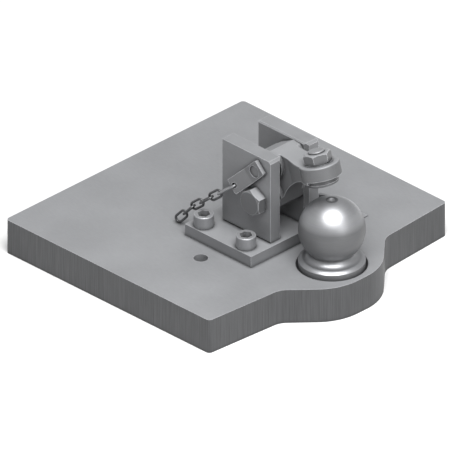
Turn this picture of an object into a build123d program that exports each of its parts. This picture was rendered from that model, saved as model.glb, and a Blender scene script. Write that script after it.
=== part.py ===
from build123d import *
from math import acos, asin, atan2, cos, degrees, hypot, radians, sin, sqrt, tan
import os

os.makedirs("parts", exist_ok=True)

# The coupling of a farm tractor's drawbar plate: a tow ball with a hold-down arm over it.
# The origin is the centre of the ball. +X points forward to the plate's nose, +Z points up.
# All lengths are in millimetres, all angles in degrees.

# Tow ball
ball_diameter = 80.0
ball_height = 47.0  # from the plate's top to the ball's centre
ball_flat_diameter = 14.0
centre_hole_diameter = 7.5
centre_hole_depth = 12.0
drill_point_angle = 30.0
neck_fillet = 9.0
rim_diameter = 70.0
rim_height = 9.4
foot_diameter = 80.0
foot_height = 6.0
foot_depth = 14.0
spigot_diameter = 60.0
weld_groove = 3.0

# Drawbar plate
plate_thickness = 45.0
plate_width = 395.0
plate_rear = 345.0  # from the ball's axis back to the rear edge
front_edge = 7.2  # how far ahead of the ball's axis the two front edges would meet
front_sweep = 4.0
nose_reach = 50.0
nose_flat = 15.0
nose_radius = 70.0
nose_slant = 43.0
nose_root_radius = 25.0
plate_corner_radius = 5.0
fixing_hole_diameter = 17.5
fixing_hole_spacing = 200.0
fixing_hole_setback = 118.0

# Bracket base and its four cap screws
base_rear = 169.5  # from the ball's axis back to the base's rear edge
base_length = 110.0
base_width = 150.0
base_thickness = 15.0
screw_diameter = 16.0
screw_hole_diameter = 17.5
screw_length = 45.0
screw_head_diameter = 24.0
screw_head_height = 16.0
screw_edge = 1.5
socket_across_flats = 14.0
socket_depth = 8.0
screw_rear_margin = 18.0
screw_front_margin = 22.0
screw_side_margin = 13.5

# Cheeks
cheek_rear_margin = 24.3  # from the base's rear edge to the cheeks
cheek_length = 80.0
cheek_top_rise = 19.0  # above the lock pin's centre
cheek_thickness = 20.0
cheek_gap = 40.0
cheek_front_chamfer = 4.5
cheek_top_chamfer = 3.0
cheek_inner_chamfer = 1.5
cheek_foot_chamfer = 2.0

# Hold-down arm. Places along X are told from the pivot.
arm_offset = 3.0  # how far the arm and the cheeks stand to the right of the ball's axis
pivot_margin = 57.2  # from the cheeks' rear edge to the pivot
pivot_height = 50.5  # above the bracket base
lock_ahead = 1.0
lock_rise = 40.5  # above the pivot
boss_radius = 20.0
arm_width = 30.0
arm_back_behind = 20.5
arm_top_ahead = 1.0  # where the top face begins
arm_top_rise = 17.2  # above the lock pin's centre
arm_top_fall = 4.4
arm_back_slope = 27.0
arm_top_blend_share = 0.50444  # of the largest radius that fits behind the head
arm_edge_radius = 1.6
head_lean = 17.5
head_radius = 24.5
head_thickness = 16.8
head_edge_radius = 2.1
skirt_depth = 3.2
flare_start = 38.0  # behind the head's axis
flare_end = 17.0
flare_angle = 10.5
hollow_tip_angle = 29.0  # where the hollow runs out on the pivot boss
hollow_mid_ahead = 37.5
hollow_mid_rise = 27.5  # above the pivot
side_clearance = 0.3

# Pivot bolt and sleeve
bolt_diameter = 20.0
bolt_hole_diameter = 20.6
bolt_across_flats = 30.0
bolt_head_height = 12.5
bolt_end = 4.0
bolt_end_chamfer = 1.5
hexagon_end_angle = 30.0  # at which the hexagons' corners are turned off
hexagon_end_share = 0.95  # of the width across flats that stays flat
hexagon_turned_share = 1.2  # of the width across flats, just outside the corners
nut_height = 16.0
washer_diameter = 37.0
washer_thickness = 3.0
sleeve_diameter = 28.0
sleeve_running_gap = 0.08
thread_gap = 0.05

# Hold-down pad
coupler_space = 16.5  # left between the ball and the pad for the trailer's ball socket
pad_diameter = 38.0
pad_thickness = 2.9
pad_edge_radius = 1.2
spacer_diameter = 37.0
spacer_thickness = 6.2
spacer_seat_gap = 3.0
pad_bolt_hole_diameter = 21.0
pad_washer_diameter = 35.0
pad_washer_thickness = 1.0
pad_nut_height = 12.2
pad_bolt_end = 2.4
pad_bolt_chamfer = 1.0

# Lock pin and handle
pin_diameter = 20.0
pin_hole_diameter = 20.6
pin_play = 0.9  # half the play of the pin in its hole in the arm
pin_rest_gap = 0.05  # left at the side where the arm rests on the pin
pin_end = 4.0
pin_chamfer = 2.0
spigot_pin_diameter = 15.0
spigot_recess = 1.6
handle_bolt_clearance = 0.61  # left between the handle and the pivot bolt's corners
handle_width = 20.0
handle_thickness = 5.0
handle_top_length = 12.0
handle_flat_length = 14.0
handle_bent_length = 31.0
handle_bend = 14.0
handle_corner_radius = 2.0
handle_hole_diameter = 7.0
handle_hole_margin = 5.0
handle_clearance = 0.3

# Chain
chain_links = 6
chain_wire = 3.0
first_link_length = 28.0  # inside
chain_link_length = 16.75  # inside
chain_link_width = 12.0  # outside
chain_link_gap = 0.15
chain_slack = 0.8  # how far the first link's wire stands clear of the hole's lower half
chain_over_screw = 15.854  # from the rear cap screw's top to the middle of the chain over it
chain_end_links = 2  # they fall behind the screw
chain_end_gap = 0.625  # left between the last link and the plate
chain_swing = 10.0

# Type plate, left bare, with its two rivets
type_plate_length = 50.0
type_plate_width = 30.0
type_plate_thickness = 1.0
type_plate_front = 49.0  # behind the ball's axis
type_plate_gap = 4.0  # from the bracket base's right edge
rivet_diameter = 3.0
rivet_head_diameter = 5.5
rivet_head_height = 1.5
rivet_head_edge = 0.9
rivet_depth = 4.0
rivet_margin = 3.5

# Levels and places that follow from the sizes above
plate_top = -ball_height
plate_bottom = plate_top - plate_thickness
base_top = plate_top + base_thickness
base_centre_x = -base_rear + base_length / 2
screw_spacing_long = base_length - screw_rear_margin - screw_front_margin
screw_spacing_wide = base_width - 2 * screw_side_margin
screw_centre_x = -base_rear + screw_rear_margin + screw_spacing_long / 2
cheek_rear_x = cheek_rear_margin - base_rear
cheek_inner_left = arm_offset - cheek_gap / 2
cheek_inner_right = arm_offset + cheek_gap / 2
cheek_outer_left = cheek_inner_left - cheek_thickness
cheek_outer_right = cheek_inner_right + cheek_thickness
pivot = (cheek_rear_x + pivot_margin, base_top + pivot_height)
lock = (pivot[0] + lock_ahead, pivot[1] + lock_rise)
cheek_top = lock[1] + cheek_top_rise

# Seen from the side, the head's axis leans back and goes through the ball's centre.
# A place on it is told by how far it is ahead of that axis and how far from the ball's centre.
lean_cos = cos(radians(head_lean))
lean_sin = sin(radians(head_lean))
pad_level = ball_diameter / 2 + coupler_space
spacer_level = pad_level + pad_thickness
head_level = spacer_level + spacer_thickness
head_top = head_level + head_thickness
pad_nut_level = head_top + pad_washer_thickness
pad_bolt_top = pad_nut_level + pad_nut_height + pad_bolt_end


def from_head(ahead, level):
    """Gives X and Z of a point told by its place along and ahead of the head's axis."""
    return (ahead * lean_cos - level * lean_sin, ahead * lean_sin + level * lean_cos)


head_plane = Plane(
    origin=(0, arm_offset, 0), x_dir=(lean_cos, 0, lean_sin), z_dir=(-lean_sin, 0, lean_cos)
)
head_axis = Axis(origin=(0, arm_offset, 0), direction=(-lean_sin, 0, lean_cos))
head_side_plane = Plane(
    origin=(0, arm_offset, 0), x_dir=(lean_cos, 0, lean_sin), z_dir=(0, -1, 0)
)
side_plane = Plane.XZ.offset(-arm_offset)
pivot_axis_left = Plane(origin=(pivot[0], cheek_outer_left, pivot[1]), x_dir=(0, 0, 1), z_dir=(0, -1, 0))
pivot_axis_right = Plane(origin=(pivot[0], cheek_outer_right, pivot[1]), x_dir=(0, 0, 1), z_dir=(0, 1, 0))


def hexagon_blank(across_flats, height, both_ends=False):
    """Makes a hexagon standing on the XY plane, with the corners of its top, or of both ends, turned off."""
    corner = hexagon_turned_share * across_flats / 2
    face_radius = hexagon_end_share * across_flats / 2
    drop = (corner - face_radius) * tan(radians(hexagon_end_angle))
    foot = [(face_radius, 0), (corner, drop)] if both_ends else [(corner, 0)]
    with BuildPart() as blank:
        with BuildSketch():
            RegularPolygon(across_flats / 2, 6, major_radius=False)
        extrude(amount=height)
        with BuildSketch(Plane.XZ):
            with BuildLine():
                Polyline(
                    (0, 0), *foot, (corner, height - drop), (face_radius, height), (0, height), close=True
                )
            make_face()
        revolve(axis=Axis.Z, mode=Mode.INTERSECT)
    return blank.part


# Drawbar plate: flame-cut outline with a rounded nose, drawn as one half and mirrored
slant_cos = cos(radians(nose_slant))
slant_sin = sin(radians(nose_slant))
sweep_slope = tan(radians(front_sweep))
nose_arc_end_x = nose_reach - nose_radius + nose_radius * slant_cos
nose_arc_end_y = nose_flat / 2 + nose_radius * slant_sin
nose_shoulder_y = nose_flat / 2 + nose_radius * tan(radians(nose_slant / 2))
slant_run = (nose_arc_end_x - front_edge + sweep_slope * nose_arc_end_y) / (
    slant_sin - sweep_slope * slant_cos
)
nose_root_x = nose_arc_end_x - slant_run * slant_sin
nose_root_y = nose_arc_end_y + slant_run * slant_cos
half_width = plate_width / 2
front_corner_x = front_edge - sweep_slope * half_width
type_plate_place = (
    -type_plate_front - type_plate_length / 2,
    base_width / 2 + type_plate_gap + type_plate_width / 2,
)

with BuildPart() as drawbar_plate:
    with BuildSketch(Plane.XY.offset(plate_bottom)) as outline:
        with BuildLine():
            Polyline(
                (-plate_rear, 0), (-plate_rear, half_width), (front_corner_x, half_width),
                (nose_root_x, nose_root_y), (nose_reach, nose_shoulder_y), (nose_reach, 0), close=True,
            )
        make_face()
        corners = outline.vertices()
        fillet(corners.sort_by_distance((-plate_rear, half_width))[0], plate_corner_radius)
        fillet(outline.vertices().sort_by_distance((front_corner_x, half_width))[0], plate_corner_radius)
        fillet(outline.vertices().sort_by_distance((nose_root_x, nose_root_y))[0], nose_root_radius)
        fillet(outline.vertices().sort_by_distance((nose_reach, nose_shoulder_y))[0], nose_radius)
        mirror(about=Plane.XZ)
    extrude(amount=plate_thickness)
    with BuildSketch(Plane.XY.offset(plate_top)):
        with Locations((-fixing_hole_setback, 0)):
            with GridLocations(0, fixing_hole_spacing, 1, 2):
                Circle(fixing_hole_diameter / 2)
    extrude(amount=-plate_thickness, mode=Mode.SUBTRACT)
    with BuildSketch(Plane.XY.offset(plate_top)):
        Circle(foot_diameter / 2 + thread_gap)
    extrude(amount=-foot_depth, mode=Mode.SUBTRACT)
    with BuildSketch(Plane.XY.offset(plate_top)):
        Circle(spigot_diameter / 2 + thread_gap)
    extrude(amount=-plate_thickness, mode=Mode.SUBTRACT)
    ball_bore = drawbar_plate.edges().filter_by(GeomType.CIRCLE).filter_by(
        lambda e: abs(e.arc_center.X) < 0.01 and abs(e.arc_center.Y) < 0.01
    )
    chamfer([ball_bore.sort_by(Axis.Z)[0], ball_bore.sort_by(Axis.Z)[-1]], weld_groove)
    with BuildSketch(Plane.XY.offset(plate_top)):
        with Locations((screw_centre_x, 0)):
            with GridLocations(screw_spacing_long, screw_spacing_wide, 2, 2):
                Circle(screw_diameter / 2 + thread_gap)
    extrude(amount=-(screw_length - base_thickness + screw_edge), mode=Mode.SUBTRACT)
    with BuildSketch(Plane.XY.offset(plate_top)):
        with Locations(type_plate_place):
            with GridLocations(type_plate_length - 2 * rivet_margin, 0, 2, 1):
                Circle(rivet_diameter / 2)
    extrude(amount=-rivet_depth, mode=Mode.SUBTRACT)
drawbar_plate.part.label = "drawbar_plate"

# Tow ball: one forging, turned all over. Below the ball the neck spreads into a rim and a foot.
# The foot sits in the plate's stepped bore, whose two mouths are grooves for the weld.
ball_radius = ball_diameter / 2
rim_radius = rim_diameter / 2
neck_centre_level = plate_top + rim_height + neck_fillet
neck_radius = rim_radius - neck_fillet
neck_level = -sqrt(ball_radius**2 - neck_radius**2)
flat_level = sqrt(ball_radius**2 - (ball_flat_diameter / 2) ** 2)
drill_point_depth = centre_hole_diameter / 2 * tan(radians(drill_point_angle))

with BuildPart() as tow_ball:
    with BuildSketch(Plane.XZ):
        with BuildLine():
            Polyline(
                (0, flat_level), (ball_flat_diameter / 2, flat_level), (neck_radius, flat_level / 2),
                (neck_radius, neck_centre_level),
            )
            RadiusArc((neck_radius, neck_centre_level), (rim_radius, plate_top + rim_height), neck_fillet)
            Polyline(
                (rim_radius, plate_top + rim_height),
                (foot_diameter / 2, plate_top + foot_height),
                (foot_diameter / 2, plate_top - foot_depth),
                (spigot_diameter / 2, plate_top - foot_depth),
                (spigot_diameter / 2, plate_bottom),
                (0, plate_bottom),
                (0, flat_level),
            )
        make_face()
    revolve(axis=Axis.Z)
    with BuildSketch(Plane.XZ):
        with BuildLine():
            Line((0, flat_level), (ball_flat_diameter / 2, flat_level))
            ThreePointArc(
                (ball_flat_diameter / 2, flat_level), (ball_radius, 0), (neck_radius, neck_level)
            )
            Polyline((neck_radius, neck_level), (0, neck_level), (0, flat_level))
        make_face()
    revolve(axis=Axis.Z)
    with BuildSketch(Plane.XZ):
        with BuildLine():
            Polyline(
                (0, flat_level),
                (centre_hole_diameter / 2, flat_level),
                (centre_hole_diameter / 2, flat_level - centre_hole_depth),
                (0, flat_level - centre_hole_depth - drill_point_depth),
                close=True,
            )
        make_face()
    revolve(axis=Axis.Z, mode=Mode.SUBTRACT)
tow_ball.part.label = "tow_ball"

# Bracket base: flat plate with four clearance holes
with BuildPart() as bracket_base:
    with BuildSketch(Plane.XY.offset(plate_top)):
        with Locations((base_centre_x, 0)):
            Rectangle(base_length, base_width)
        with Locations((screw_centre_x, 0)):
            with GridLocations(screw_spacing_long, screw_spacing_wide, 2, 2):
                Circle(screw_hole_diameter / 2, mode=Mode.SUBTRACT)
    extrude(amount=base_thickness)
bracket_base.part.label = "bracket_base"

# Cap screws: round head with a hexagon socket, screwed into the drawbar plate
with GridLocations(screw_spacing_long, screw_spacing_wide, 2, 2) as screw_grid:
    screw_places = [(screw_centre_x + place.position.X, place.position.Y) for place in screw_grid.locations]
screw_names = ["cap_screw_rear_left", "cap_screw_rear_right", "cap_screw_front_left", "cap_screw_front_right"]
cap_screws = []
for name, (screw_x, screw_y) in zip(screw_names, screw_places):
    with BuildPart() as cap_screw:
        with BuildSketch(Plane.XY.offset(base_top)):
            with Locations((screw_x, screw_y)):
                Circle(screw_head_diameter / 2)
        extrude(amount=screw_head_height)
        chamfer(cap_screw.edges().group_by(Axis.Z)[-1], screw_edge / 2)
        with BuildSketch(Plane.XY.offset(base_top)):
            with Locations((screw_x, screw_y)):
                Circle(screw_diameter / 2)
        extrude(amount=-screw_length)
        chamfer(cap_screw.edges().group_by(Axis.Z)[0], screw_edge)
        with BuildSketch(Plane.XY.offset(base_top + screw_head_height)):
            with Locations((screw_x, screw_y)):
                RegularPolygon(socket_across_flats / 2, 6, major_radius=False, rotation=30)
        extrude(amount=-socket_depth, mode=Mode.SUBTRACT)
    cap_screw.part.label = name
    cap_screws.append(cap_screw)


# Cheeks: a left and a right plate, bored together for the pivot bolt and the lock pin.
# The foot's outer edge is cut back for the weld seam.
def cheek(inner_y, outward):
    """Makes one cheek whose inner face is at inner_y and which stands out to the side of outward."""
    outer_y = inner_y + outward * cheek_thickness
    with BuildPart() as plate:
        with BuildSketch(Plane.XY.offset(base_top)):
            with Locations((cheek_rear_x + cheek_length / 2, (inner_y + outer_y) / 2)):
                Rectangle(cheek_length, cheek_thickness)
        extrude(amount=cheek_top - base_top)
        upright = plate.edges().filter_by(Axis.Z)
        inner_front = upright.sort_by_distance((cheek_rear_x + cheek_length, inner_y, base_top))[0]
        chamfer(inner_front, cheek_front_chamfer)
        top_front = plate.edges().filter_by(Axis.Y).sort_by(Axis.X)[-2:].sort_by(Axis.Z)[-1]
        chamfer(top_front, cheek_top_chamfer)
        along = plate.edges().filter_by(Axis.X)
        inner_top = along.sort_by_distance((cheek_rear_x, inner_y, cheek_top))[0]
        chamfer(inner_top, cheek_inner_chamfer)
        outer_foot = plate.edges().filter_by(Axis.X).sort_by_distance((cheek_rear_x, outer_y, base_top))[0]
        chamfer(outer_foot, cheek_foot_chamfer)
        with BuildSketch(side_plane):
            with Locations(pivot):
                Circle(bolt_hole_diameter / 2)
            with Locations(lock):
                Circle(pin_hole_diameter / 2)
        extrude(amount=cheek_gap + cheek_thickness, both=True, mode=Mode.SUBTRACT)
    return plate


left_cheek = cheek(cheek_inner_left, -1)
left_cheek.part.label = "left_cheek"
right_cheek = cheek(cheek_inner_right, 1)
right_cheek.part.label = "right_cheek"

# Pivot bolt through both cheeks. A sleeve between the cheeks takes the bolt's pull,
# so that the arm turns freely on it when the nut is tight.
with BuildPart() as pivot_bolt:
    with Locations(pivot_axis_left):
        add(hexagon_blank(bolt_across_flats, bolt_head_height))
    with BuildSketch(pivot_axis_left):
        Circle(bolt_diameter / 2)
    extrude(amount=-(cheek_gap + 2 * cheek_thickness + washer_thickness + nut_height + bolt_end))
    chamfer(pivot_bolt.edges().group_by(Axis.Y)[-1], bolt_end_chamfer)
pivot_bolt.part.label = "pivot_bolt"

with BuildPart() as pivot_sleeve:
    with BuildSketch(side_plane):
        with Locations(pivot):
            Circle(sleeve_diameter / 2)
            Circle(bolt_hole_diameter / 2, mode=Mode.SUBTRACT)
    extrude(amount=cheek_gap / 2, both=True)
pivot_sleeve.part.label = "pivot_sleeve"

with BuildPart() as pivot_washer:
    with BuildSketch(pivot_axis_right):
        Circle(washer_diameter / 2)
        Circle(bolt_hole_diameter / 2, mode=Mode.SUBTRACT)
    extrude(amount=washer_thickness)
pivot_washer.part.label = "pivot_washer"

with BuildPart() as pivot_nut:
    with Locations(pivot_axis_right.offset(washer_thickness)):
        add(hexagon_blank(bolt_across_flats, nut_height, both_ends=True))
    with BuildSketch(pivot_axis_right.offset(washer_thickness)):
        Circle(bolt_diameter / 2 + thread_gap)
    extrude(amount=nut_height, mode=Mode.SUBTRACT)
pivot_nut.part.label = "pivot_nut"

# Hold-down arm: a forging. Its side view and its view along the head's axis are
# cut with each other, then the bosses, the head and the bores are added.
top_slope = tan(radians(arm_top_fall))
arm_top = (pivot[0] + arm_top_ahead, lock[1] + arm_top_rise)
back_drop = (arm_back_behind + arm_top_ahead) * tan(radians(arm_back_slope))
head_slope = lean_sin / lean_cos
head_top_x, head_top_z = from_head(0, head_top)
valley_x = (arm_top[1] + top_slope * arm_top[0] - head_top_z + head_slope * head_top_x) / (
    head_slope + top_slope
)
valley = (valley_x, arm_top[1] - top_slope * (valley_x - arm_top[0]))
valley_room = (head_top_x - valley_x) / lean_cos / tan(radians(head_lean + arm_top_fall) / 2)
back_top = (pivot[0] - arm_back_behind, arm_top[1] - back_drop)
hollow_tip = (
    pivot[0] + boss_radius * cos(radians(hollow_tip_angle)),
    pivot[1] - boss_radius * sin(radians(hollow_tip_angle)),
)
hollow_mid = (pivot[0] + hollow_mid_ahead, pivot[1] + hollow_mid_rise)
skirt_end = from_head(0, head_level - skirt_depth)
flare_half = arm_width / 2 + (flare_start - flare_end) * tan(radians(flare_angle))
boss_half = cheek_gap / 2 - side_clearance

with BuildPart() as hold_down_arm:
    with BuildSketch(side_plane) as side_view:
        with BuildLine():
            Polyline(
                pivot, hollow_tip, from_head(0, head_level - skirt_depth), (head_top_x, head_top_z),
                valley, arm_top, back_top, (back_top[0], pivot[1]), close=True,
            )
        make_face()
        fillet(side_view.vertices().sort_by_distance(valley)[0], arm_top_blend_share * valley_room)
        with Locations(pivot):
            Circle(boss_radius)
    extrude(amount=head_radius, both=True)
    with BuildSketch(head_plane):
        with BuildLine():
            Polyline(
                (-2 * plate_rear, -arm_width / 2), (-flare_start, -arm_width / 2),
                (-flare_end, -flare_half), (0, -flare_half), (0, flare_half),
                (-flare_end, flare_half), (-flare_start, arm_width / 2),
                (-2 * plate_rear, arm_width / 2), close=True,
            )
        make_face()
    extrude(amount=2 * head_top, both=True, mode=Mode.INTERSECT)
    web_sides = hold_down_arm.faces().filter_by(lambda f: abs(f.normal_at().Y) > 0.9).edges()
    web_tops = hold_down_arm.faces().filter_by(lambda f: f.normal_at().Z > 0.8).edges()
    fillet([e for e in web_sides if e in web_tops], arm_edge_radius)
    with BuildSketch(side_plane):
        with Locations(pivot, lock):
            Circle(boss_radius)
        with BuildLine():
            Polyline(
                back_top, arm_top, valley, (valley[0], pivot[1] - 2 * boss_radius),
                (back_top[0], pivot[1] - 2 * boss_radius), close=True,
            )
        make_face(mode=Mode.INTERSECT)
    extrude(amount=boss_half, both=True)
    with BuildSketch(head_side_plane) as head_profile:
        with BuildLine():
            Polyline(
                (0, head_level - skirt_depth), (head_radius, head_level - skirt_depth),
                (head_radius, head_top), (0, head_top), close=True,
            )
        make_face()
        fillet(head_profile.vertices().sort_by_distance((head_radius, head_top))[0], head_edge_radius)
    revolve(axis=head_axis)
    with BuildSketch(side_plane):
        with BuildLine():
            ThreePointArc(hollow_tip, hollow_mid, skirt_end)
            Polyline(
                skirt_end, from_head(0, head_level), from_head(2 * head_radius, head_level),
                from_head(2 * head_radius, 0), (hollow_tip[0], plate_top), hollow_tip,
            )
        make_face()
    extrude(amount=2 * head_radius, both=True, mode=Mode.SUBTRACT)
    with BuildSketch(head_plane.offset(head_level)):
        Circle(spacer_diameter / 2 + spacer_seat_gap)
    extrude(amount=-2 * skirt_depth, mode=Mode.SUBTRACT)
    with BuildSketch(head_plane.offset(head_top)):
        Circle(pad_washer_diameter / 2 + side_clearance)
    extrude(amount=head_thickness, mode=Mode.SUBTRACT)
    with BuildSketch(head_plane.offset(head_level)):
        Circle(pad_bolt_hole_diameter / 2)
    extrude(amount=2 * head_thickness, both=True, mode=Mode.SUBTRACT)
    with BuildSketch(side_plane):
        with Locations(pivot):
            Circle(sleeve_diameter / 2 + sleeve_running_gap)
        with Locations((lock[0] + pin_play - pin_rest_gap, lock[1])):
            Circle(pin_diameter / 2 + pin_play)
    extrude(amount=cheek_gap, both=True, mode=Mode.SUBTRACT)
hold_down_arm.part.label = "hold_down_arm"

# Hold-down pad: a round pad with a threaded shank that goes up through the head.
# The spacer below the head sets how far the pad stands off the ball.
with BuildPart() as hold_down_pad:
    with BuildSketch(head_plane.offset(pad_level)):
        Circle(pad_diameter / 2)
    extrude(amount=pad_thickness)
    pad_bottom = hold_down_pad.faces().sort_by(head_axis)[0]
    fillet(pad_bottom.edges(), pad_edge_radius)
    with BuildSketch(head_plane.offset(spacer_level)):
        Circle(bolt_diameter / 2)
    extrude(amount=pad_bolt_top - spacer_level)
    chamfer(hold_down_pad.faces().sort_by(head_axis)[-1].edges(), pad_bolt_chamfer)
hold_down_pad.part.label = "hold_down_pad"

with BuildPart() as pad_spacer:
    with BuildSketch(head_plane.offset(spacer_level)):
        Circle(spacer_diameter / 2)
        Circle(bolt_hole_diameter / 2, mode=Mode.SUBTRACT)
    extrude(amount=spacer_thickness)
pad_spacer.part.label = "pad_spacer"

with BuildPart() as pad_washer:
    with BuildSketch(head_plane.offset(head_top)):
        Circle(pad_washer_diameter / 2)
        Circle(bolt_hole_diameter / 2, mode=Mode.SUBTRACT)
    extrude(amount=pad_washer_thickness)
pad_washer.part.label = "pad_washer"

with BuildPart() as pad_nut:
    with Locations(head_plane.offset(pad_nut_level)):
        add(hexagon_blank(bolt_across_flats, pad_nut_height, both_ends=True))
    with BuildSketch(head_plane.offset(pad_nut_level)):
        Circle(bolt_diameter / 2 + thread_gap)
    extrude(amount=pad_nut_height, mode=Mode.SUBTRACT)
pad_nut.part.label = "pad_nut"

# Lock pin: goes through both cheeks and the arm. Its thin end is held in the handle.
handle_face = cheek_outer_left - handle_clearance
pin_plane = Plane(origin=(lock[0], handle_face, lock[1]), x_dir=(0, 0, 1), z_dir=(0, 1, 0))
pin_length = 2 * cheek_thickness + cheek_gap + handle_clearance + pin_end

with BuildPart() as lock_pin:
    with BuildSketch(pin_plane):
        Circle(pin_diameter / 2)
    extrude(amount=pin_length)
    chamfer(lock_pin.edges().group_by(Axis.Y)[-1], pin_chamfer)
    with BuildSketch(pin_plane):
        Circle(spigot_pin_diameter / 2)
    extrude(amount=-(handle_thickness - spigot_recess))
lock_pin.part.label = "lock_pin"

# Handle: flat bar folded once. It hangs as steeply as the pivot bolt's head lets it.
# It is drawn in its own plane, x down along the bar, y outwards.
bolt_corner = bolt_across_flats / 2 / cos(radians(30))
handle_room = handle_width / 2 + handle_bolt_clearance + bolt_corner
handle_tilt = acos(handle_room / hypot(lock_rise, lock_ahead)) - atan2(lock_ahead, lock_rise)
tilt_cos = cos(handle_tilt)
tilt_sin = sin(handle_tilt)
bend_cos = cos(radians(handle_bend))
bend_sin = sin(radians(handle_bend))
handle_plane = Plane(
    origin=(lock[0], handle_face, lock[1]), x_dir=(-tilt_cos, 0, -tilt_sin), z_dir=(-tilt_sin, 0, tilt_cos)
)
outer_bend = handle_flat_length - handle_thickness * tan(radians(handle_bend / 2))
bent_plane = Plane(
    origin=handle_plane.from_local_coords((handle_flat_length, 0, 0)),
    x_dir=Vector(-tilt_cos * bend_cos, -bend_sin, -tilt_sin * bend_cos),
    z_dir=Vector(tilt_cos * bend_sin, -bend_cos, tilt_sin * bend_sin),
)
handle_hole_run = handle_bent_length - handle_hole_margin

with BuildPart() as pin_handle:
    with BuildSketch(handle_plane):
        with BuildLine():
            Polyline(
                (-handle_top_length, 0),
                (handle_flat_length, 0),
                (handle_flat_length + handle_bent_length * bend_cos, handle_bent_length * bend_sin),
                (
                    handle_flat_length + handle_bent_length * bend_cos - handle_thickness * bend_sin,
                    handle_bent_length * bend_sin + handle_thickness * bend_cos,
                ),
                (outer_bend, handle_thickness),
                (-handle_top_length, handle_thickness),
                close=True,
            )
        make_face()
    extrude(amount=handle_width / 2, both=True)
    short_edges = pin_handle.edges().filter_by(lambda e: abs(e.length - handle_thickness) < 0.01)
    across = short_edges.filter_by(lambda e: abs(e.tangent_at(0).dot(handle_plane.z_dir)) < 0.01)
    fillet(across, handle_corner_radius)
    with BuildSketch(pin_plane):
        Circle(spigot_pin_diameter / 2)
    extrude(amount=-2 * handle_thickness, mode=Mode.SUBTRACT)
    with BuildSketch(bent_plane):
        with Locations((handle_hole_run, 0)):
            Circle(handle_hole_diameter / 2)
    extrude(amount=2 * handle_thickness, both=True, mode=Mode.SUBTRACT)
pin_handle.part.label = "pin_handle"

# Chain: oval links of round wire, each turned a quarter against the one before. The first is longer.
# It runs from the handle over the rear cap screw and falls behind it to the drawbar plate's top.
chain_level = Vector(-cos(radians(chain_swing)), -sin(radians(chain_swing)), 0)
chain_sideways = Vector(sin(radians(chain_swing)), -cos(radians(chain_swing)), 0)


def chain_direction(drop):
    """Gives the direction of a stretch of chain that falls at an angle of drop."""
    return chain_level * cos(radians(drop)) - Vector(0, 0, sin(radians(drop)))


handle_hole = bent_plane.from_local_coords((handle_hole_run, 0, handle_thickness / 2))
link_bow = (chain_link_width - chain_wire) / 2
link_pitch = chain_link_length - chain_link_gap
screw_top = Vector(*screw_places[0], base_top + screw_head_height + chain_over_screw)
chain_run = (screw_top - handle_hole).dot(chain_level)
chain_drop = degrees(atan2(handle_hole.Z - screw_top.Z, chain_run))
hook = handle_hole + chain_direction(chain_drop) * ((chain_wire + chain_link_gap) / 2 - chain_slack)
upper_length = first_link_length - chain_link_gap + (chain_links - chain_end_links - 1) * link_pitch
end_hook = hook + chain_direction(chain_drop) * upper_length
end_length = chain_end_links * link_pitch - (chain_link_width - chain_link_gap) / 2 + chain_wire
end_fall = end_hook.Z - plate_top - chain_end_gap - chain_link_width / 2
chain_end_drop = degrees(asin(end_fall / end_length))
links = []
for count in range(chain_links):
    link_length = first_link_length if count == 0 else chain_link_length
    link_along = chain_direction(chain_drop if count < chain_links - chain_end_links else chain_end_drop)
    link_side = (link_length + chain_wire) / 2 - link_bow
    link_plane = Plane(
        origin=hook + link_along * (link_length - chain_link_gap) / 2,
        x_dir=link_along,
        z_dir=link_along.cross(chain_sideways) if count % 2 == 0 else chain_sideways,
    )
    hook = hook + link_along * (link_length - chain_link_gap)
    with BuildPart() as link:
        with BuildLine(link_plane) as oval:
            upper_side = Line((-link_side, link_bow), (link_side, link_bow))
            far_bow = JernArc(upper_side @ 1, upper_side % 1, link_bow, -180)
            lower_side = Line(far_bow @ 1, (-link_side, -link_bow))
            JernArc(lower_side @ 1, lower_side % 1, link_bow, -180)
        with BuildSketch(Plane(origin=upper_side @ 0.5, z_dir=link_along)):
            Circle(chain_wire / 2)
        sweep(path=oval.wire())
    link.part.label = f"chain_link_{count + 1}"
    links.append(link)

# Type plate: thin and bare, held by two drive rivets
with BuildPart() as type_plate:
    with BuildSketch(Plane.XY.offset(plate_top)):
        with Locations(type_plate_place):
            Rectangle(type_plate_length, type_plate_width)
            with GridLocations(type_plate_length - 2 * rivet_margin, 0, 2, 1):
                Circle(rivet_diameter / 2, mode=Mode.SUBTRACT)
    extrude(amount=type_plate_thickness)
type_plate.part.label = "type_plate"

with BuildPart() as type_plate_rivets:
    with BuildSketch(Plane.XY.offset(plate_top + type_plate_thickness)):
        with Locations(type_plate_place):
            with GridLocations(type_plate_length - 2 * rivet_margin, 0, 2, 1):
                Circle(rivet_head_diameter / 2)
    extrude(amount=rivet_head_height)
    fillet(type_plate_rivets.edges().group_by(Axis.Z)[-1], rivet_head_edge)
    with BuildSketch(Plane.XY.offset(plate_top + type_plate_thickness)):
        with Locations(type_plate_place):
            with GridLocations(type_plate_length - 2 * rivet_margin, 0, 2, 1):
                Circle(rivet_diameter / 2)
    extrude(amount=-(type_plate_thickness + rivet_depth))
type_plate_rivets.part.label = "type_plate_rivets"

pieces = [
    drawbar_plate, tow_ball, bracket_base, *cap_screws, left_cheek, right_cheek,
    pivot_bolt, pivot_sleeve, pivot_washer, pivot_nut, hold_down_arm, hold_down_pad,
    pad_spacer, pad_washer, pad_nut, lock_pin, pin_handle, *links, type_plate, type_plate_rivets,
]
for piece in pieces:
    export_step(piece.part, f"parts/{piece.part.label}.step")
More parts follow.
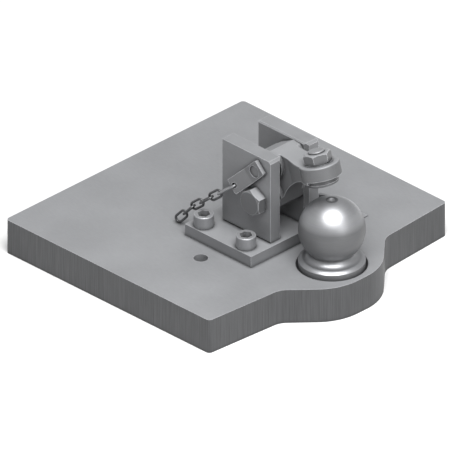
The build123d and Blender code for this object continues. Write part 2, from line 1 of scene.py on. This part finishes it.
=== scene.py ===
# %% [markdown]
# # A tractor's ball coupling, finished in Blender
# The solids of this coupling come ready from the CAD model: a thick drawbar plate, a tow ball, and a
# hold-down arm between two cheeks. They could be modelled again here, but then two models would have
# to agree. So this lesson loads them as a fixed frame and works on what the eye sees: the steel's
# finishes, a ball and a chain with truly round surfaces, the light and the camera.

import bmesh
import bpy
import numpy as np
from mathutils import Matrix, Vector


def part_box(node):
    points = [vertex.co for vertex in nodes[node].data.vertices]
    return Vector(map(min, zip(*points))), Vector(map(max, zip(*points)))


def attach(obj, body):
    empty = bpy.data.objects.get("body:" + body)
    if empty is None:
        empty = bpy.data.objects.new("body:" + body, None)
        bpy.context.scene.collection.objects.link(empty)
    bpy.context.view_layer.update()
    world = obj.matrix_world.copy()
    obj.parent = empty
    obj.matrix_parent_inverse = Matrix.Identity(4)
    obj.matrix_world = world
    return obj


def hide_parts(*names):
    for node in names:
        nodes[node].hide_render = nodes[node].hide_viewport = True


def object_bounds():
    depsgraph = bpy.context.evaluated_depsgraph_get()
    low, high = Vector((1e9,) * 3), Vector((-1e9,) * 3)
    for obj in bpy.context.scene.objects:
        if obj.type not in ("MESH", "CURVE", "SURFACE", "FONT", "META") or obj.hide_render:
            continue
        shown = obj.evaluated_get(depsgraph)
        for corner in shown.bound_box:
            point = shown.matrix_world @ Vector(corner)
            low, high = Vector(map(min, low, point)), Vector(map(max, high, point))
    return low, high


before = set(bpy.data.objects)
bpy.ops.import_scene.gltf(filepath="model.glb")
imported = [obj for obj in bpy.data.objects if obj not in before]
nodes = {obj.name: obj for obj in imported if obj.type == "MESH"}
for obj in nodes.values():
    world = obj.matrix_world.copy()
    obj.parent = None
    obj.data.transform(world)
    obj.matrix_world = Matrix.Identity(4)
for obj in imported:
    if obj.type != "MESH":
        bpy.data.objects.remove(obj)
cad_box = [list(corner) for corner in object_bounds()]
print("nodes:", len(nodes), "box:", cad_box)

# %% [markdown]
# ## Putting a grid of points into a mesh
# Each new surface below is a formula on a grid: one parameter runs along it and one runs around it.
# The points could be made one by one in a loop. Numpy works out the whole grid at once, and a second
# array joins each point to its neighbours, so the same helper serves a ball, a chain link and a floor.


# %% The corners of every cell of a grid
def grid_faces(rows, columns, wrap_rows, wrap_columns):
    """Numbers the four corners of every cell. A wrapped direction joins its last line to its first."""
    row = np.arange(rows if wrap_rows else rows - 1)[:, None]
    column = np.arange(columns if wrap_columns else columns - 1)[None, :]
    next_row = (row + 1) % rows
    next_column = (column + 1) % columns
    corners = [row * columns + column, row * columns + next_column,
               next_row * columns + next_column, next_row * columns + column]
    return np.stack(corners, axis=-1).reshape(-1, 4)


print("a grid of 3 by 4 points has", len(grid_faces(3, 4, False, False)), "cells")

# %% A grid of points becomes an object
merge_distance = 1e-7


def mesh_from_grid(name, points, wrap_rows=False, wrap_columns=False, poles=False):
    """Makes an object of a grid of points with shape (rows, columns, 3).

    With poles, the first and last rows have shrunk to one point each and are merged.
    """
    rows, columns = points.shape[:2]
    faces = grid_faces(rows, columns, wrap_rows, wrap_columns)
    mesh = bpy.data.meshes.new(name)
    mesh.from_pydata(points.reshape(-1, 3), [], faces)
    mesh.update()
    if poles:
        work = bmesh.new()
        work.from_mesh(mesh)
        bmesh.ops.remove_doubles(work, verts=work.verts, dist=merge_distance)
        bmesh.ops.recalc_face_normals(work, faces=work.faces)
        work.to_mesh(mesh)
        work.free()
    mesh.polygons.foreach_set("use_smooth", np.ones(len(mesh.polygons), bool))
    piece = bpy.data.objects.new(name, mesh)
    bpy.context.scene.collection.objects.link(piece)
    print(name, "has", len(mesh.vertices), "points")
    return piece


# %% [markdown]
# ## The tow ball
# A tow ball is forged and then turned on a lathe: sphere, waisted neck, a rim that slopes down to a
# round foot, and a centre hole in the flat on top from the turning. A sphere primitive with cylinders
# would show seams where they meet. One outline carried around the axis is how the lathe makes it, and
# it keeps every curve round from all sides. Each sharp corner gets a small slope that catches the light.

# %% Two helpers for an outline
step_share = 0.3


def arc(centre, radius, start, end, steps):
    """Points on a circle: the centre plus radius times cosine and sine of an angle, from start to end."""
    angle = np.radians(np.linspace(start, end, steps))
    return np.stack([centre[0] + radius * np.cos(angle), centre[1] + radius * np.sin(angle)], axis=-1)


def break_corners(outline, size):
    """Replaces each inner point by two, each a step back along one of the two lines that meet there.

    A step is size long, or step_share of the shorter line where that is less.
    """
    before = outline[:-2] - outline[1:-1]
    after = outline[2:] - outline[1:-1]
    before_length = np.linalg.norm(before, axis=1, keepdims=True)
    after_length = np.linalg.norm(after, axis=1, keepdims=True)
    step = np.minimum(size, step_share * np.minimum(before_length, after_length))
    first = outline[1:-1] + before / before_length * step
    second = outline[1:-1] + after / after_length * step
    pairs = np.stack([first, second], axis=1)
    return np.concatenate([outline[:1], pairs.reshape(-1, 2), outline[-1:]])


print("a quarter circle ends at", arc((0.0, 0.0), 1.0, 0.0, 90.0, 5)[-1].round(3))

# %% The top of the ball, from the tip of the centre hole to the edge of the flat
ball_radius = 0.040
flat_radius = 0.007
hole_radius = 0.00375
hole_depth = 0.012
drill_point = 0.00217
top_slope = 0.0003
flat_level = np.sqrt(ball_radius**2 - flat_radius**2)
top_outline = break_corners(np.array([
    [0.0, flat_level - hole_depth - drill_point],
    [hole_radius, flat_level - hole_depth],
    [hole_radius, flat_level],
    [flat_radius, flat_level],
]), top_slope)
print("the flat is", round(1000.0 * float(flat_level), 2), "mm above the centre")

# %% The sphere and the hollow curve of the neck
neck_radius = 0.026
neck_fillet = 0.009
rim_radius = 0.035
rim_height = 0.0094
sphere_steps = 72
neck_steps = 20
plate_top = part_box("drawbar_plate")[1].z
rim_level = plate_top + rim_height
flat_angle = np.degrees(np.arctan2(flat_level, flat_radius))
neck_angle = np.degrees(np.arccos(neck_radius / ball_radius))
sphere_outline = arc((0.0, 0.0), ball_radius, flat_angle, -neck_angle, sphere_steps)[1:]
neck_outline = arc((rim_radius, rim_level + neck_fillet), neck_fillet, 180.0, 270.0, neck_steps)
print("the sphere runs from", round(float(flat_angle), 1), "to", round(-float(neck_angle), 1), "degrees")

# %% The rim, the foot in its seat and the shank through the plate
foot_radius = 0.040
foot_height = 0.006
foot_depth = 0.014
shank_radius = 0.030
foot_slope = 0.0004
plate_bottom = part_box("drawbar_plate")[0].z
foot_outline = break_corners(np.array([
    [rim_radius, rim_level],
    [foot_radius, plate_top + foot_height],
    [foot_radius, plate_top - foot_depth],
    [shank_radius, plate_top - foot_depth],
    [shank_radius, plate_bottom],
    [0.0, plate_bottom],
]), foot_slope)[1:]
ball_outline = np.concatenate([top_outline, sphere_outline, neck_outline, foot_outline])
print("the outline has", len(ball_outline), "points")

# %% Carry the outline around the ball's axis
ball_steps = 144


def turned(name, outline, steps):
    """The outline carried round Z: x and y are its radius times cosine and sine of the turn, z its level."""
    turn = np.linspace(0.0, 2.0 * np.pi, steps, endpoint=False)
    radius, level = outline[:, 0:1], outline[:, 1:2]
    points = np.stack([radius * np.cos(turn), radius * np.sin(turn), level * np.ones_like(turn)], axis=-1)
    return mesh_from_grid(name, points, wrap_columns=True, poles=True)


ball = turned("ball_turned", ball_outline, ball_steps)
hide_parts("tow_ball")
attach(ball, "frame")

# %% [markdown]
# ## The chain
# A short welded chain holds the pin, so that it isn't lost in the field. Each link is round wire bent
# to an oval. A torus stretched in one direction would flatten its wire at the bends. Here a ring
# of points, the wire's section, is carried along the oval's own path, so the wire stays round.

# %% The path of one link
link_bow = 0.0045
link_steps = 56


def oval_path(side):
    """Points and outward directions along a link: two half circles joined by straight sides.

    The outward direction turns evenly. A point is the bow's radius times that direction, moved by the
    half length of the straight side towards the end at which the direction points.
    """
    angle = np.linspace(0.0, 2.0 * np.pi, link_steps, endpoint=False) + np.pi / link_steps
    outward = np.stack([np.cos(angle), np.sin(angle)], axis=-1)
    end = np.where(np.cos(angle) > 0.0, side, -side)
    return np.stack([end + link_bow * outward[:, 0], link_bow * outward[:, 1]], axis=-1), outward


# %% The surface around the path
wire_radius = 0.0015
wire_steps = 20


def link_surface(name, centre, along, across, side):
    """The wire's round section carried along the oval.

    A point is the path's point, plus the wire's radius times the cosine of a second angle outwards, minus
    the wire's radius times its sine square to the link's plane.
    """
    path, outward = oval_path(side)
    square = np.cross(along, across)
    turn = np.linspace(0.0, 2.0 * np.pi, wire_steps, endpoint=False)
    middle = centre + path[:, :1] * along + path[:, 1:] * across
    out = outward[:, :1] * along + outward[:, 1:] * across
    points = (middle[:, None, :] + wire_radius * np.cos(turn)[None, :, None] * out[:, None, :]
              - wire_radius * np.sin(turn)[None, :, None] * square[None, None, :])
    return mesh_from_grid(name, points, wrap_rows=True, wrap_columns=True)


# %% [markdown]
# ## Laying the links
# The solid links already hang in the right places, so nothing has to be measured again. The line
# through their middles gives the chain's direction, first down over the screw and then steeper behind
# it, and every second link stands on edge, as in any chain.

# %% Lay one link over each solid link
link_side = 0.005375
first_link_side = 0.011
end_links = 2
link_names = sorted(name for name in nodes if name.startswith("chain_link"))
link_centres = np.array([(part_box(name)[0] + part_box(name)[1]) / 2 for name in link_names])
upper_stretch = link_centres[-end_links - 1] - link_centres[0]
end_stretch = link_centres[-1] - link_centres[-2]
chain_pieces = []
for count, name in enumerate(link_names):
    along = upper_stretch if count < len(link_names) - end_links else end_stretch
    along = along / np.linalg.norm(along)
    level = np.cross(along, (0.0, 0.0, 1.0))
    level = level / np.linalg.norm(level)
    across = level if count % 2 == 0 else np.cross(along, level)
    side = first_link_side if count == 0 else link_side
    round_name = name.replace("chain_link", "round_link")
    piece = link_surface(round_name, link_centres[count], along, across, side)
    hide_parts(name)
    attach(piece, "pin")
    chain_pieces.append(piece)

# %% [markdown]
# ## Steel finishes
# Bare steel is never one grey. Rolled plate has a cloudy skin, a torch leaves lines on its edges, a
# lathe leaves rings, a forging is fine-grained like orange peel, and plated screws are brighter.
# An image of each would blur close up. Noise worked out from the object's own coordinates stays sharp
# at any size, so each finish is a small tree of nodes, and this class puts such a tree together.


# %% A material that is being put together
class Finish:
    """A new material with its node tree, its shader and the coordinates of the object that wears it."""

    def __init__(self, name, metallic, specular):
        self.material = bpy.data.materials.new(name)
        self.material.use_nodes = True
        self.tree = self.material.node_tree
        self.shader = self.tree.nodes["Principled BSDF"]
        self.shader.inputs["Metallic"].default_value = metallic
        self.shader.inputs["Specular IOR Level"].default_value = specular
        self.place = self.tree.nodes.new("ShaderNodeTexCoord")

    def add(self, kind, inputs, **settings):
        """Adds a node. An input is either a plain value or another node's output, which is linked."""
        node = self.tree.nodes.new("ShaderNode" + kind)
        for setting, value in settings.items():
            setattr(node, setting, value)
        for name, value in inputs.items():
            if isinstance(value, bpy.types.NodeSocket):
                self.tree.links.new(value, node.inputs[name])
            else:
                node.inputs[name].default_value = value
        return node

    def done(self, colour, roughness, normal):
        """Plugs the three patterns into the shader."""
        self.tree.links.new(colour, self.shader.inputs["Base Color"])
        self.tree.links.new(roughness, self.shader.inputs["Roughness"])
        self.tree.links.new(normal, self.shader.inputs["Normal"])
        return self.material


def grey(tone):
    """A steel grey with a little more blue than red."""
    return (tone * 0.97, tone * 0.985, tone * 1.02, 1.0)


print("a middle steel grey is", [round(part, 3) for part in grey(0.5)])

# %% [markdown]
# ## Patterns and colours
# Noise is a cloud of values around a half that hardly ever leaves the range from 0.3 to 0.7. Scaling
# the coordinates unevenly before the noise reads them draws the cloud out into marks. That is how
# one kind of node gives a rolled skin, torch lines and lathe rings.

# %% Noise, and ways to turn it into numbers and colours
noise_low, noise_high = 0.3, 0.7
noise_roughness = 0.55
even_scale = (1.0, 1.0, 1.0)
print("noise is read from", noise_low, "to", noise_high)


def noise(finish, marks, scale, detail):
    """Noise on the object's coordinates, which are first multiplied by marks along X, Y and Z."""
    mapping = finish.add("Mapping", {"Vector": finish.place.outputs["Object"], "Scale": marks})
    return finish.add("TexNoise", {
        "Vector": mapping.outputs["Vector"], "Scale": scale, "Detail": detail, "Roughness": noise_roughness,
    }).outputs["Fac"]


def spread(finish, value, low, high, start=noise_low, end=noise_high):
    """Maps a value from the range start to end to the range low to high, and stops at both."""
    return finish.add("MapRange", {
        "Value": value, "From Min": start, "From Max": end, "To Min": low, "To Max": high,
    }).outputs["Result"]


def shades(finish, pattern, dark, light):
    """Colours a noise pattern from dark to light."""
    node = finish.add("ValToRGB", {"Fac": pattern})
    for stop, position, colour in zip(node.color_ramp.elements, (noise_low, noise_high), (dark, light)):
        stop.position = position
        stop.color = colour
    return node.outputs["Color"]


def blend(finish, first, second, share):
    """Mixes two colours: share 0 gives the first and share 1 the second."""
    return finish.add("Mix", {"Factor": share, "A": first, "B": second}, data_type="RGBA").outputs["Result"]


# %% [markdown]
# ## Which way a face looks
# Faces that lie nearly level get a lighter colour, which is painted light from above, and faces that look
# down get a darker one, which is painted shade.
# Both could be painted by hand for each piece. The object's own normal already knows: its upward part
# is 1 on a level top, 0 on an upright side and -1 on an underside.


# %% Masks from a face's direction
def facing(finish, low, high, start, end):
    """Maps the upward part of the normal from the range start to end to the range low to high."""
    upward = finish.add("SeparateXYZ", {"Vector": finish.place.outputs["Normal"]}).outputs["Z"]
    return spread(finish, upward, low, high, start, end)


# Painted light: faces that lie nearly level are made lighter.
def lit_top_face(finish):
    """1 on faces that lie nearly level, 0 from a slope of about 70 degrees on: the mask of the painted light
    from above.
    """
    return facing(finish, low=0.0, high=1.0, start=0.35, end=0.9)


# Painted shade: faces that look down are darkened.
def shaded_underside(finish):
    """0.75 on faces that look down, 0 on faces that look sideways or up: the mask of the painted shade
    below.
    """
    return facing(finish, low=0.75, high=0.0, start=-0.6, end=-0.1)


# %% [markdown]
# ## Edges, corners and drilled holes
# Handling rubs edges bare, and the corners between pieces are darkened as painted shade. Two nodes find
# those places without a painted mask. The Bevel node gives the normal that a rounded edge would have, so
# where it differs from the true one there is an edge. The Ambient Occlusion node tells how open a place is.


# %% Masks from a piece's shape
def convex_edge(finish, radius):
    """1 on the solid's edges, 0 on flats: the dot product of the rounded and the true normal falls off."""
    rounded = finish.add("Bevel", {"Radius": radius}, samples=4)
    true_normal = finish.add("NewGeometry", {}).outputs["Normal"]
    together = finish.add("VectorMath", {0: rounded.outputs["Normal"], 1: true_normal},
                          operation="DOT_PRODUCT")
    return spread(finish, together.outputs["Value"], low=1.0, high=0.0, start=0.90, end=0.99)


# Painted shade: darkens where little of the surroundings is open, in the corners between pieces.
def corner_shade(finish, distance):
    """1 in the corners where pieces meet, 0 in the open: the mask of the painted shade in corners."""
    openness = finish.add("AmbientOcclusion", {"Distance": distance}, samples=4).outputs["AO"]
    return spread(finish, openness, low=1.0, high=0.0, start=0.4, end=0.9)


def around_holes(finish, along, across, reach):
    """1 within reach of the two upright lines at x = along and y = across or -across, 0 a little outside."""
    place = finish.add("SeparateXYZ", {"Vector": finish.place.outputs["Object"]})
    side = finish.add("Math", {0: place.outputs["Y"]}, operation="ABSOLUTE")
    from_above = finish.add("CombineXYZ", {"X": place.outputs["X"], "Y": side.outputs["Value"]})
    away = finish.add("VectorMath", {0: from_above.outputs["Vector"], 1: (along, across, 0.0)},
                      operation="DISTANCE")
    return spread(finish, away.outputs["Value"], low=1.0, high=0.0, start=reach, end=1.1 * reach)


# %% Relief, and the edge wear and painted corner shade that all bare pieces share
rubbed_tone, rubbed_width = 0.56, 0.0009
# Colour and reach of the painted shade in the corners between pieces.
corner_shade_tone, corner_shade_reach = 0.03, 0.005


def relief(finish, pattern, depth, under=None):
    """Bumps the surface by a pattern, depth metres high, on top of another relief if there is one."""
    inputs = {"Distance": depth, "Strength": 1.0, "Height": pattern}
    if under is not None:
        inputs["Normal"] = under
    return finish.add("Bump", inputs).outputs["Normal"]


def wear_and_corner_shade(finish, colour):
    """Adds edges rubbed bare, and painted shade in the corners between pieces."""
    worn = blend(finish, colour, grey(rubbed_tone), convex_edge(finish, rubbed_width))
    # Painted shade: the corners between pieces are darkened.
    return blend(finish, worn, grey(corner_shade_tone), corner_shade(finish, corner_shade_reach))


# %% [markdown]
# ## Rolled plate with torch-cut edges
# The drawbar plate is hot-rolled and cut out by a torch. Its top has a cloudy, slightly uneven skin,
# and its edges carry fine upright lines where the flame went round. The direction of a face tells the
# two apart, and it also darkens the sides far below the top: torch-cut scale with painted shade. The walls
# of the two fixing holes look sideways too, but they were drilled, so they are told by their place and are
# brighter.

# %% The drawbar plate's finish
fixing_hole = (-0.118, 0.100)
drilled_reach = 0.0095
drilled_tone = 0.27


def rolled_plate():
    """Cloudy skin on faces that look up, upright lines on the cut edges, which darken with painted shade as
    a face turns sideways.
    """
    finish = Finish("rolled_plate", metallic=0.35, specular=0.4)
    cloud = noise(finish, even_scale, scale=14.0, detail=6.0)
    grain = noise(finish, (0.35, 2.2, 1.0), scale=420.0, detail=3.0)
    cut = noise(finish, (1.0, 1.0, 0.02), scale=900.0, detail=2.0)
    skin = shades(finish, cloud, dark=grey(0.315), light=grey(0.355))
    rolled = shades(finish, grain, dark=grey(0.30), light=grey(0.37))
    top = blend(finish, skin, rolled, share=0.35)
    # The dark cut sides: torch-cut scale, made far darker as painted shade.
    torch_cut_and_side_shade = shades(finish, cut, dark=grey(0.06), light=grey(0.09))
    drilled = around_holes(finish, *fixing_hole, drilled_reach)
    edge = blend(finish, torch_cut_and_side_shade, grey(drilled_tone), drilled)
    # Painted shade: the colour darkens evenly from the top's to the cut sides' as a face turns from up to
    # sideways.
    colour = blend(finish, edge, top, facing(finish, low=0.0, high=1.0, start=0.0, end=1.0))
    bumps = relief(finish, cut, depth=0.00006, under=relief(finish, grain, depth=0.00003))
    return finish.done(wear_and_corner_shade(finish, colour), spread(finish, cloud, low=0.42, high=0.56), bumps)


finishes = {"plate": rolled_plate()}
print("first finish:", finishes["plate"].name)

# %% [markdown]
# ## Milled, forged, turned and plated steel
# The other finishes differ only in the shape of their pattern. Milling marks run along a plate, forging
# scale has no direction, and turning marks are rings square to the piece's axis. So one function draws
# a fine pattern that is stretched or squeezed along X, Y and Z, and each finish gives it its own numbers.

# %% One function for the directional finishes
# Colour of the painted shade on faces that look down.
underside_shade_tone = 0.04
# How much the lighter tone of level faces, which is painted light, varies with the cloud.
lit_top_variation = 0.05


def marked_steel(name, tone, lit_top_tone, contrast, marks, scale, depth, roughness, metallic):
    """Steel of a tone, with marks, a cloud for unevenness, a low relief, painted light on level faces and
    painted shade on faces that look down.
    """
    finish = Finish(name, metallic=metallic, specular=0.45)
    dark, light = grey(tone * (1.0 - contrast)), grey(tone * (1.0 + contrast))
    fine = noise(finish, marks, scale, detail=3.0)
    cloud = noise(finish, even_scale, scale=45.0, detail=5.0)
    clean = blend(finish, shades(finish, cloud, dark, light), shades(finish, fine, dark, light), share=0.5)
    # Level faces get a lighter tone: painted light from above.
    dull, pale = grey(lit_top_tone * (1.0 - lit_top_variation)), grey(lit_top_tone * (1.0 + lit_top_variation))
    lit_tops = shades(finish, cloud, dull, pale)
    # Faces that look down are darkened: painted shade.
    shaded_below = blend(finish, clean, grey(underside_shade_tone), shaded_underside(finish))
    colour = blend(finish, shaded_below, lit_tops, lit_top_face(finish))
    return finish.done(wear_and_corner_shade(finish, colour), spread(finish, cloud, *roughness), relief(finish, fine, depth))


# %% Plates, strap and forging
# Each finish below has a lighter tone for its level faces, which is painted light from above.
finishes["milled"] = marked_steel(
    "milled_cheek", tone=0.187, lit_top_tone=0.278, contrast=0.08, marks=(0.12, 1.0, 1.0), scale=1500.0,
    depth=0.00002, roughness=(0.42, 0.52), metallic=0.25)
finishes["base"] = marked_steel(
    "milled_base", tone=0.195, lit_top_tone=0.335, contrast=0.08, marks=(0.12, 1.0, 1.0), scale=1500.0,
    depth=0.00002, roughness=(0.42, 0.52), metallic=0.25)
finishes["strap"] = marked_steel(
    "folded_strap", tone=0.14, lit_top_tone=0.36, contrast=0.08, marks=(0.4, 1.0, 0.4), scale=1500.0,
    depth=0.00002, roughness=(0.40, 0.50), metallic=0.3)
finishes["forged"] = marked_steel(
    "forged_arm", tone=0.12, lit_top_tone=0.315, contrast=0.10, marks=even_scale, scale=900.0,
    depth=0.00008, roughness=(0.45, 0.58), metallic=0.25)
print("finishes so far:", sorted(finishes))

# %% Turned pieces, screws, chain and sheet
# Each finish below has a lighter tone for its level faces, which is painted light from above.
finishes["turned"] = marked_steel(
    "turned_steel", tone=0.095, lit_top_tone=0.30, contrast=0.06, marks=(0.05, 0.05, 1.0), scale=2500.0,
    depth=0.00002, roughness=(0.34, 0.44), metallic=0.35)
finishes["pin"] = marked_steel(
    "ground_pin", tone=0.16, lit_top_tone=0.3, contrast=0.05, marks=(0.05, 1.0, 0.05), scale=2500.0,
    depth=0.00002, roughness=(0.32, 0.40), metallic=0.4)
finishes["hexagon"] = marked_steel(
    "dark_hexagon", tone=0.12, lit_top_tone=0.38, contrast=0.06, marks=even_scale, scale=1200.0,
    depth=0.00001, roughness=(0.36, 0.46), metallic=0.35)
finishes["plated"] = marked_steel(
    "plated_steel", tone=0.22, lit_top_tone=0.30, contrast=0.06, marks=even_scale, scale=1200.0,
    depth=0.00001, roughness=(0.34, 0.44), metallic=0.35)
finishes["chain"] = marked_steel(
    "chain_wire", tone=0.085, lit_top_tone=0.12, contrast=0.14, marks=even_scale, scale=800.0,
    depth=0.00003, roughness=(0.30, 0.45), metallic=0.6)
finishes["sheet"] = marked_steel(
    "brushed_sheet", tone=0.34, lit_top_tone=0.40, contrast=0.06, marks=(0.05, 1.0, 1.0), scale=1800.0,
    depth=0.00001, roughness=(0.34, 0.44), metallic=0.5)
print("finishes so far:", sorted(finishes))

# %% [markdown]
# ## The rubbed ball, with painted highlight and shade
# A trailer's socket rides on the crown of the ball and polishes it, so the crown is lighter and more
# metallic than the duller sides; this is also a painted highlight that gathers the lamp's shine on the
# crown. The underside is darkened as painted shade. A mask painted by hand would have to be redone for each
# change of shape.
# How far the surface looks up already tells the crown from the sides, so it sets metal, colour and roughness
# at once. The socket doesn't reach the small flat on top, so that stays darker.

# %% The ball's finish
# Colour of the painted shade on the ball's underside.
ball_underside_shade_tone = 0.045
flat_tone = 0.26


def rubbed_ball_painted_light():
    """Bright smooth metal where the ball looks up, polish and painted highlight; dull where it looks
    sideways, and darker where it looks down, which is painted shade.
    """
    finish = Finish("rubbed_ball_painted_light", metallic=0.3, specular=0.5)
    rings = noise(finish, (0.02, 0.02, 1.0), scale=2500.0, detail=2.0)
    # The crown: socket polish and a painted highlight, lighter and more metallic where the ball looks up.
    crown = facing(finish, low=0.0, high=1.0, start=0.25, end=0.75)
    # Painted shade: the ball darkens where it looks down.
    ball_underside_shade = facing(finish, low=0.7, high=0.0, start=-0.95, end=-0.3)
    dull = shades(finish, rings, dark=grey(0.10), light=grey(0.115))
    bright = shades(finish, rings, dark=grey(0.48), light=grey(0.52))
    sides = blend(finish, dull, grey(ball_underside_shade_tone), ball_underside_shade)
    polished_and_painted_light = blend(finish, sides, bright, crown)
    colour = blend(finish, polished_and_painted_light, grey(flat_tone), around_holes(finish, 0.0, 0.0, flat_radius))
    metal = spread(finish, crown, low=0.3, high=0.9, start=0.0, end=1.0)
    finish.tree.links.new(metal, finish.shader.inputs["Metallic"])
    roughness = spread(finish, crown, low=0.46, high=0.40, start=0.0, end=1.0)
    return finish.done(colour, roughness, relief(finish, rings, depth=0.000003))


finishes["ball"] = rubbed_ball_painted_light()
print("last finish:", finishes["ball"].name)

# %% [markdown]
# ## Dressing the solids
# A solid from CAD keeps its mesh, and only its finish changes. The slot can belong to the mesh or to the
# object. Setting it on the object leaves the mesh alone, which the frame insists on. What the table
# doesn't name, the cap screws and the washers, is plated, and so is the chain's brighter first link.

# %% Which piece wears which finish
node_finish = {
    "drawbar_plate": "plate", "bracket_base": "base", "left_cheek": "milled", "right_cheek": "milled",
    "hold_down_arm": "forged", "hold_down_pad": "turned", "pad_spacer": "turned", "pivot_sleeve": "turned",
    "lock_pin": "pin", "pin_handle": "strap", "type_plate": "sheet", "type_plate_rivets": "sheet",
    "pivot_bolt": "hexagon", "pivot_nut": "hexagon", "pad_nut": "hexagon", "tow_ball": "ball",
}


def dress(piece, material):
    """Puts one material on an object, in the object's own slots."""
    if not piece.material_slots:
        piece.data.materials.append(material)
    for material_slot in piece.material_slots:
        material_slot.link = "OBJECT"
        material_slot.material = material


# %% Give every solid and every new piece its finish
for name, node in nodes.items():
    kind = "chain" if name.startswith("chain_link") else node_finish.get(name, "plated")
    dress(node, finishes[kind])
dress(ball, finishes["ball"])
for count, piece in enumerate(chain_pieces):
    dress(piece, finishes["plated" if count == 0 else "chain"])
print("dressed", len(nodes), "solids and", 1 + len(chain_pieces), "new pieces")

# %% [markdown]
# ## The floor
# The photograph has a plain white ground. A flat plane would do, but its far edge would show as a line in
# low views. This sheet stays flat under the coupling and curves up far behind it, like a paper sweep in a
# photographer's studio, and it goes all round so that every side view has it.

# %% The shape of the sweep
floor_level = cad_box[0][2]
sweep_flat = 5.0
sweep_radius = 9.0
sweep_rise = 5.0
sweep_rings = 48
sweep_spokes = 96


def sweep_surface(name):
    """A bowl: the radius grows evenly and the angle goes round.

    The height is the rise times the square of how far the radius has come from the flat middle to the rim.
    """
    radius = np.linspace(0.0, sweep_radius, sweep_rings)[:, None]
    turn = np.linspace(0.0, 2.0 * np.pi, sweep_spokes, endpoint=False)[None, :]
    outside = np.clip((radius - sweep_flat) / (sweep_radius - sweep_flat), 0.0, 1.0)
    height = floor_level + sweep_rise * outside**2
    points = np.stack([radius * np.cos(turn), radius * np.sin(turn), height + 0.0 * turn], axis=-1)
    return mesh_from_grid(name, points[::-1], wrap_columns=True, poles=True)


# %% Pale paper
floor = sweep_surface("paper_sweep")
paper = Finish("pale_paper", metallic=0.0, specular=0.1)
fibre = noise(paper, even_scale, scale=60.0, detail=4.0)
paper_colour = shades(paper, fibre, dark=(0.86, 0.86, 0.86, 1.0), light=(0.88, 0.88, 0.88, 1.0))
paper_roughness = spread(paper, fibre, low=0.85, high=0.9)
dress(floor, paper.done(paper_colour, paper_roughness, relief(paper, fibre, depth=0.00002)))
print("the floor lies", round(-1000.0 * floor_level, 1), "mm below the ball's centre")

# %% [markdown]
# ## Light
# A bare bulb would burn a dot on the ball and cut hard shadows. Wide round panels work as a studio's
# softboxes: one above and a little in front, which makes the tops bright and the ball shine, and one low
# in front for the upright faces that look forward. A faint even light from all round fills the rest.

# %% Soft panels
lit_place = Vector((-0.1, -0.05, 0.0))


def panel(name, direction, distance, size, power):
    """A round area light that looks at the middle of the coupling from a direction."""
    data = bpy.data.lights.new(name, "AREA")
    data.shape = "DISK"
    data.size = size
    data.energy = power
    lamp = bpy.data.objects.new(name, data)
    towards = Vector(direction).normalized()
    lamp.location = lit_place + towards * distance
    lamp.rotation_euler = towards.to_track_quat("Z", "Y").to_euler()
    bpy.context.scene.collection.objects.link(lamp)
    return lamp


key = panel("key_panel", direction=(0.36, -0.25, 0.90), distance=3.0, size=2.8, power=150.0)
front = panel("front_panel", direction=(0.95, -0.1, 0.3), distance=2.4, size=1.2, power=15.0)
print("lights:", key.name, front.name)

# %% Light from all round
air_strength = 0.30
world = bpy.data.worlds.new("studio_air")
world.use_nodes = True
sky = world.node_tree.nodes["Background"]
sky.inputs["Color"].default_value = (1.0, 1.0, 1.0, 1.0)
sky.inputs["Strength"].default_value = air_strength
bpy.context.scene.world = world
bpy.context.scene.view_settings.view_transform = "Standard"
print("the air's strength:", air_strength)

# %% [markdown]
# ## Camera
# The picture has no perspective: the plate's long edges stay parallel. A long lens from far
# away comes close to that, but an orthographic camera is exactly that, and its only size is the width it
# takes in. It looks down by 30 degrees over the corner between the front and the left side.

# %% Three directions of the view, square to each other
elevation = np.radians(30.0)
azimuth = np.radians(45.0)
view_right = Vector((np.cos(azimuth), np.sin(azimuth), 0.0))
level_part = np.cos(elevation)
view_from = Vector((level_part * np.sin(azimuth), -level_part * np.cos(azimuth), np.sin(elevation)))
view_up = view_from.cross(view_right)
print("the camera stands towards", [round(part, 3) for part in view_from])

# %% The camera at the photograph's angle
picture_width = 0.5315
centre_left_of_foot = 0.1245
centre_above_foot = 0.0439
camera_distance = 4.0
ball_foot = Vector((0.0, 0.0, plate_top))
aim = ball_foot - view_right * centre_left_of_foot + view_up * centre_above_foot
camera_data = bpy.data.cameras.new("studio_camera")
camera_data.type = "ORTHO"
camera_data.ortho_scale = picture_width
camera = bpy.data.objects.new("studio_camera", camera_data)
camera.location = aim + view_from * camera_distance
camera.rotation_euler = view_from.to_track_quat("Z", "Y").to_euler()
bpy.context.scene.collection.objects.link(camera)
bpy.context.scene.camera = camera
print("the camera stands", camera_distance, "m away")
